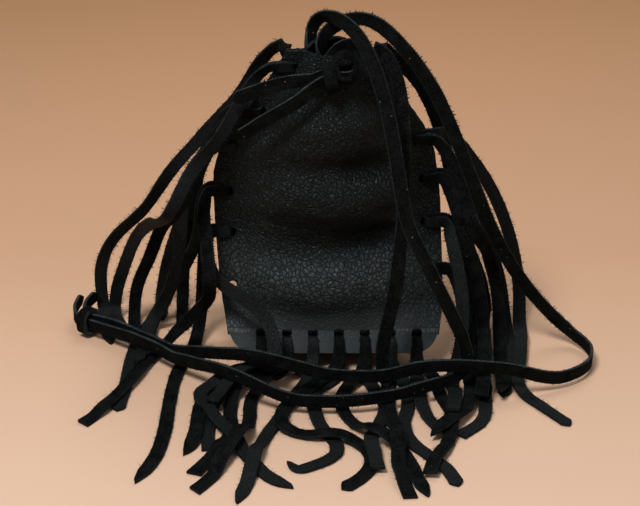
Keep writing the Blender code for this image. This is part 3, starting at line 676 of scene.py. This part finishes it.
# soft hollows (+) and swells (-) pressed into the front: x, z, reach across and up, depth, in mm
frontDents = [
    (14, 75, 16, 5.5, 4.2), (6, 89, 17, 7, -1.6), (17, 47, 14, 5, 4.0), (8, 61, 19, 8, -2.4),
    (0, 42, 34, 6, 2.2), (0, 29, 34, 8, -2.0), (-20, 84, 8, 12, 0.7), (23, 66, 6, 16, 1.0),
    (-18, 56, 7, 9, -0.6), (26, 40, 7, 10, -0.7), (-30, 60, 5, 14, 0.5), (4, 99, 9, 5, 0.8),
    (14, 22, 8, 4, 0.6), (-14, 104, 5, 7, -0.5), (-24, 40, 9, 12, -0.8), (-8, 47, 8, 5, 0.8),
    (-12, 75, 8, 4, 0.7),
]
# slow unevenness: waves per mm across and up, lane of the noise, height in mm
uneven = {
    "front": ((0.06, 0.09, 2, 1.1), (0.16, 0.2, 5, 0.4)),
    "back": ((0.05, 0.11, 9, 1.2), (0.14, 0.2, 4, 0.4)),
}
# pleats gathered towards the neck: the level they start at, how many levels they grow over
pleats = {
    "front": {"start": 8.2, "over": 3.8, "shift": -4, "often": 0.75, "tighter": 0.25,
              "sway": 0.5, "swayOften": 0.2, "high": 0.75},
    "back": {"start": 7.5, "over": 4.5, "shift": 2, "often": 0.8, "tighter": 0.0,
             "sway": 0.4, "swayOften": 0.25, "high": 0.7},
}


def unevenAt(x, z, waves):
    return sum(noise.noise(Vector((x * a, z * b, lane))) * high for a, b, lane, high in waves)


def pleatsAt(x, z, level, p):
    near = max(0.0, (level - p["start"]) / p["over"])
    turn = (x + p["shift"]) * (p["often"] + p["tighter"] * near)
    turn += p["sway"] * math.sin(z * p["swayOften"])
    return math.sin(turn) * near ** 1.5 * p["high"]


def frontRelief(spot, level):
    x, z = spot.x / mm, spot.z / mm
    deep = 0.0
    for a, b, reach, up, depth in frontDents:
        deep += depth * math.exp(-((x - a) / reach) ** 2 - ((z - b) / up) ** 2)
    calm = between(level, 1, 2.5)
    deep += unevenAt(x, z, uneven["front"]) * calm
    return deep * calm + pleatsAt(x, z, level, pleats["front"])


def backRelief(spot, level):
    # flat where the bag stands on it
    x, z = spot.x / mm, spot.z / mm
    folds = unevenAt(x, z, uneven["back"]) * between(z, 4, 16) * between(level, 1, 2.5)
    return folds + pleatsAt(x, z, level, pleats["back"])


# how strongly painted light brightens the lower belly, front only
panels = {
    "front": {"name": "front_leather", "node": "bag_front_panel", "side": -1, "relief": frontRelief,
              "paintedLight": 1.0},
    "back": {"name": "back_leather", "node": "bag_back_panel", "side": 1, "relief": backRelief,
             "paintedLight": 0.0},
}
grid = {"up": 236, "wide": 172, "levels": 12}
# the skin's own relief: pebbles and the ripple along the bottom seam; also where the band of painted
# light on the lower belly lies
skin = {"pebbleSize": 2.1, "pebble": 0.16 * mm, "warp": 0.4, "warpOften": 180, "split": 1.5,
        "rippleLong": 9.6, "rippleFrom": -24, "ripple": 0.3 * mm,
        "paintedLightHeight": 33, "paintedLightReach": 9, "calmOver": 2.4, "fade": 9 * mm}


def pebbleHeight(u, v):
    # swell of one pebble of the grain, 0 in the creases
    size, often = skin["pebbleSize"], skin["warpOften"]
    warped = u / mm / size + skin["warp"] * noise.noise(Vector((u * often, v * often, 1)))
    near = noise.voronoi(Vector((warped, v / mm / size, 0)))[0]
    rise = min(1.0, (near[1] - near[0]) * skin["split"])
    return rise * rise * (3 - 2 * rise)


def openHoles(verts, faces, spots, radius=1.8 * mm, reach=4 * mm):
    # drop what lies inside each punched hole and pull the ragged rim onto its circle
    gone = set()
    for at, way in spots:
        for k, spot in enumerate(verts):
            apart = spot - at
            if apart.length < reach:
                side = apart - way * apart.dot(way)
                if side.length < radius:
                    gone.add(k)
                    verts[k] = spot + side.normalized() * (radius - side.length)
    return [f for f in faces if sum(k in gone for k in f) < 4]


def buildPanel(which, p, spots):
    rows = []
    for i in range(grid["up"] + 1):
        rows.append(panelRow(which, grid["levels"] * i / grid["up"], grid["wide"]))
    verts, flats, smoothAndPaintedLightValues = [], [], []
    grainUp, middle = 0.0, grid["wide"] // 2
    for i, row in enumerate(rows):
        level = grid["levels"] * i / grid["up"]
        above, below = rows[min(i + 1, grid["up"])], rows[max(i - 1, 0)]
        near = between(level, 8, 10.5)  # the grain is drawn finer towards the neck
        if i:
            grainUp += (row[middle] - rows[i - 1][middle]).length * (1 + 0.25 * near)
        half = seamPoint(level)[0]
        calm = max(0.0, 1 - level / skin["calmOver"]) ** 0.6
        walked = -sum((b - a).length for a, b in zip(row, row[1:])) / 2
        for j, spot in enumerate(row):
            if j:
                walked += (spot - row[j - 1]).length
            after, before = row[min(j + 1, grid["wide"])], row[max(j - 1, 0)]
            up = (above[j] - spot).normalized() + (spot - below[j]).normalized()
            along = (after - spot).normalized() + (spot - before).normalized()
            normal = along.cross(up).normalized() * -p["side"]
            out = abs(2 * j / grid["wide"] - 1) * half
            inward = between(half - bag["margin"] - out, 0, skin["fade"])
            flats.append((walked * (1 + 0.5 * near), grainUp))
            dent = p["relief"](spot, level) * inward
            # painted shade, strongest in the deepest dents
            paintedShade = between(dent, 0.6, 3)
            # painted light in a band round the lower belly
            lift = (spot.z / mm - skin["paintedLightHeight"]) / skin["paintedLightReach"]
            paintedLight = p["paintedLight"] * math.exp(-lift ** 2)
            ripple = math.sin((spot.x / mm - skin["rippleFrom"]) * 2 * math.pi / skin["rippleLong"])
            push = bag["thick"] / 2 + bag["gap"] / 2 - dent * mm
            push += (pebbleHeight(*flats[-1]) - 0.5) * skin["pebble"] * (1 - calm)
            push += ripple * max(0.0, 1 - level) * skin["ripple"]
            made = spot + normal * push
            made.z = max(made.z, bag["thick"] / 2)
            verts.append(made)
            # painted light on the smooth strip, painted light on the lower belly, painted shade in
            # the dents
            smoothAndPaintedLightValues.append((calm, paintedLight * (1 - calm), paintedShade, 1))
    wide = grid["wide"] + 1
    faces = []
    for i in range(grid["up"]):
        for j in range(wide - 1):
            a = i * wide + j
            faces.append((a, a + 1, a + wide + 1, a + wide))
    faces = openHoles(verts, faces, spots)
    if which == "back":
        faces = [tuple(reversed(f)) for f in faces]
    mesh = bpy.data.meshes.new(p["name"])
    mesh.from_pydata(verts, [], faces)
    layer = mesh.uv_layers.new(name="flat")
    # this colour attribute carries the painted light and shade
    paint = mesh.color_attributes.new("smoothAndPaintedLight", "FLOAT_COLOR", "POINT")
    for k, smoothAndPaintedLight in enumerate(smoothAndPaintedLightValues):
        paint.data[k].color = smoothAndPaintedLight
    for face in mesh.polygons:
        for loop in face.loop_indices:
            layer.data[loop].uv = flats[mesh.loops[loop].vertex_index]
    for material in (leathers["front"], leathers["inside"], leathers["edge"]):
        mesh.materials.append(material)
    mesh.shade_smooth()
    made = bpy.data.objects.new(p["name"], mesh)
    scene.collection.objects.link(made)
    shell = made.modifiers.new("thickness", "SOLIDIFY")
    shell.thickness = bag["thick"]
    shell.offset = 0.0
    shell.material_offset = 1
    shell.material_offset_rim = 2
    return made


def sideHole(height, inset):
    # place and direction of a hole in the left seam
    level = min((k / 50 for k in range(50, 600)), key=lambda k: abs(seamPoint(k)[3] - height))
    half, offset, depth, high = seamPoint(level)
    above, below = seamPoint(level + 0.2), seamPoint(level - 0.2)
    along = Vector((0, above[2] - below[2], above[3] - below[3])).normalized()
    return Vector((offset - half + inset, depth, high)), Vector((0, -along.z, along.y))


def applyModifiers(o):
    seen = o.evaluated_get(bpy.context.evaluated_depsgraph_get())
    mesh = bpy.data.meshes.new_from_object(seen)
    o.modifiers.clear()
    o.data = mesh


laced = holes + [sideHole(27 * mm, 4.6 * mm)]  # the last one is empty
rims = {
    "front": (tieRows[mouthOf(tieRows)][0], Vector((0, -1, 0.2)).normalized()),
    "back": (neckRows[mouthOf(neckRows)][0], Vector((0, -1, -0.2)).normalized()),
}
creaseAngle = math.radians(48)
for which, p in panels.items():
    made = buildPanel(which, p, laced + [rims[which]])
    applyModifiers(made)
    made.data.set_sharp_from_angle(angle=creaseAngle)
    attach(made, "root")
    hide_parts(p["node"])
    print(p["name"], "made,", len(made.data.polygons), "faces")

# Fuzz on the cut edges, all in one mesh.
mesh = bpy.data.meshes.new("thong_fuzz")
mesh.from_pydata(fuzz["verts"], [], fuzz["faces"])
mesh.materials.append(leathers["edge"])
mesh.uv_layers.new(name="flat")
fibres = bpy.data.objects.new("thong_fuzz", mesh)
scene.collection.objects.link(fibres)
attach(fibres, "root")
print("fuzz", len(fuzz["faces"]), "fibres")

# Specks of lint, all in one mesh.
mesh = bpy.data.meshes.new("thong_lint")
mesh.from_pydata(lint["verts"], [], lint["faces"])
for number, colour in enumerate(lintColours):
    material, tree, shader = newMaterial(f"lint_{number}")
    speckle = addNode(tree, "ShaderNodeTexNoise", {"Scale": 900})
    darker = [0.6 * c for c in colour]
    tone = ramp(tree, speckle.outputs["Fac"], [(0.3, darker), (0.7, colour)])
    tree.links.new(tone.outputs[0], shader.inputs["Base Color"])
    shader.inputs["Roughness"].default_value = 0.8
    mesh.materials.append(material)
for face in mesh.polygons:
    face.material_index = lint["slots"][face.index]
specks = bpy.data.objects.new("thong_lint", mesh)
scene.collection.objects.link(specks)
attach(specks, "root")
print("lint", len(lint["faces"]), "specks")

# Floor and light.
# Painted light falloff: the paper's colour darkens from front to back, over a stretch given in metres
# along Y.
floorLook = {"reach": 20, "from": -0.15, "to": 0.45, "middleAt": 0.367,
             "front": (0.705, 0.487, 0.352), "middle": (0.58, 0.345, 0.214),
             "back": (0.52, 0.278, 0.141)}


def addFloor(look):
    reach = look["reach"]
    corners = [(-reach, -reach, 0), (reach, -reach, 0), (reach, reach, 0), (-reach, reach, 0)]
    mesh = bpy.data.meshes.new("floor")
    mesh.from_pydata(corners, [], [(0, 1, 2, 3)])
    made = bpy.data.objects.new("floor", mesh)
    scene.collection.objects.link(made)
    material, tree, shader = newMaterial("floor_paper")
    place = addNode(tree, "ShaderNodeTexCoord")
    apart = addNode(tree, "ShaderNodeSeparateXYZ")
    tree.links.new(place.outputs["Object"], apart.inputs[0])
    spread = addNode(tree, "ShaderNodeMapRange", {"From Min": look["from"], "From Max": look["to"]})
    tree.links.new(apart.outputs[1], spread.inputs["Value"])
    # painted light falloff: the floor gets darker towards the back
    tone = ramp(tree, spread.outputs[0],
                [(0, look["front"]), (look["middleAt"], look["middle"]), (1, look["back"])])
    tree.links.new(tone.outputs[0], shader.inputs["Base Color"])
    shader.inputs["Roughness"].default_value = 0.95
    shader.inputs["Specular IOR Level"].default_value = 0.1
    mesh.materials.append(material)


lampAim = Vector((0, -0.03, 0.04))
lamps = [
    {"name": "key", "at": (-0.27, -0.42, 0.9), "size": 0.34, "power": 8.3},
    {"name": "fill", "at": (0.75, -0.5, 0.55), "size": 0.9, "power": 1.1},
    {"name": "top", "at": (0.15, 0.45, 0.8), "size": 0.5, "power": 2.3},
]


def addLamp(lamp):
    data = bpy.data.lights.new(lamp["name"], "AREA")
    data.shape = "DISK"
    data.size = lamp["size"]
    data.energy = lamp["power"]
    made = bpy.data.objects.new(lamp["name"], data)
    scene.collection.objects.link(made)
    made.location = lamp["at"]
    aim = lampAim - made.location
    made.rotation_mode = "QUATERNION"
    made.rotation_quaternion = aim.to_track_quat("-Z", "Y")


addFloor(floorLook)
for lamp in lamps:
    addLamp(lamp)
world = bpy.data.worlds.new("studio")
scene.world = world
world.use_nodes = True
world.node_tree.nodes["Background"].inputs[0].default_value = (0.95, 0.97, 1.0, 1)
world.node_tree.nodes["Background"].inputs[1].default_value = 0.17
print("floor and lamps in place")
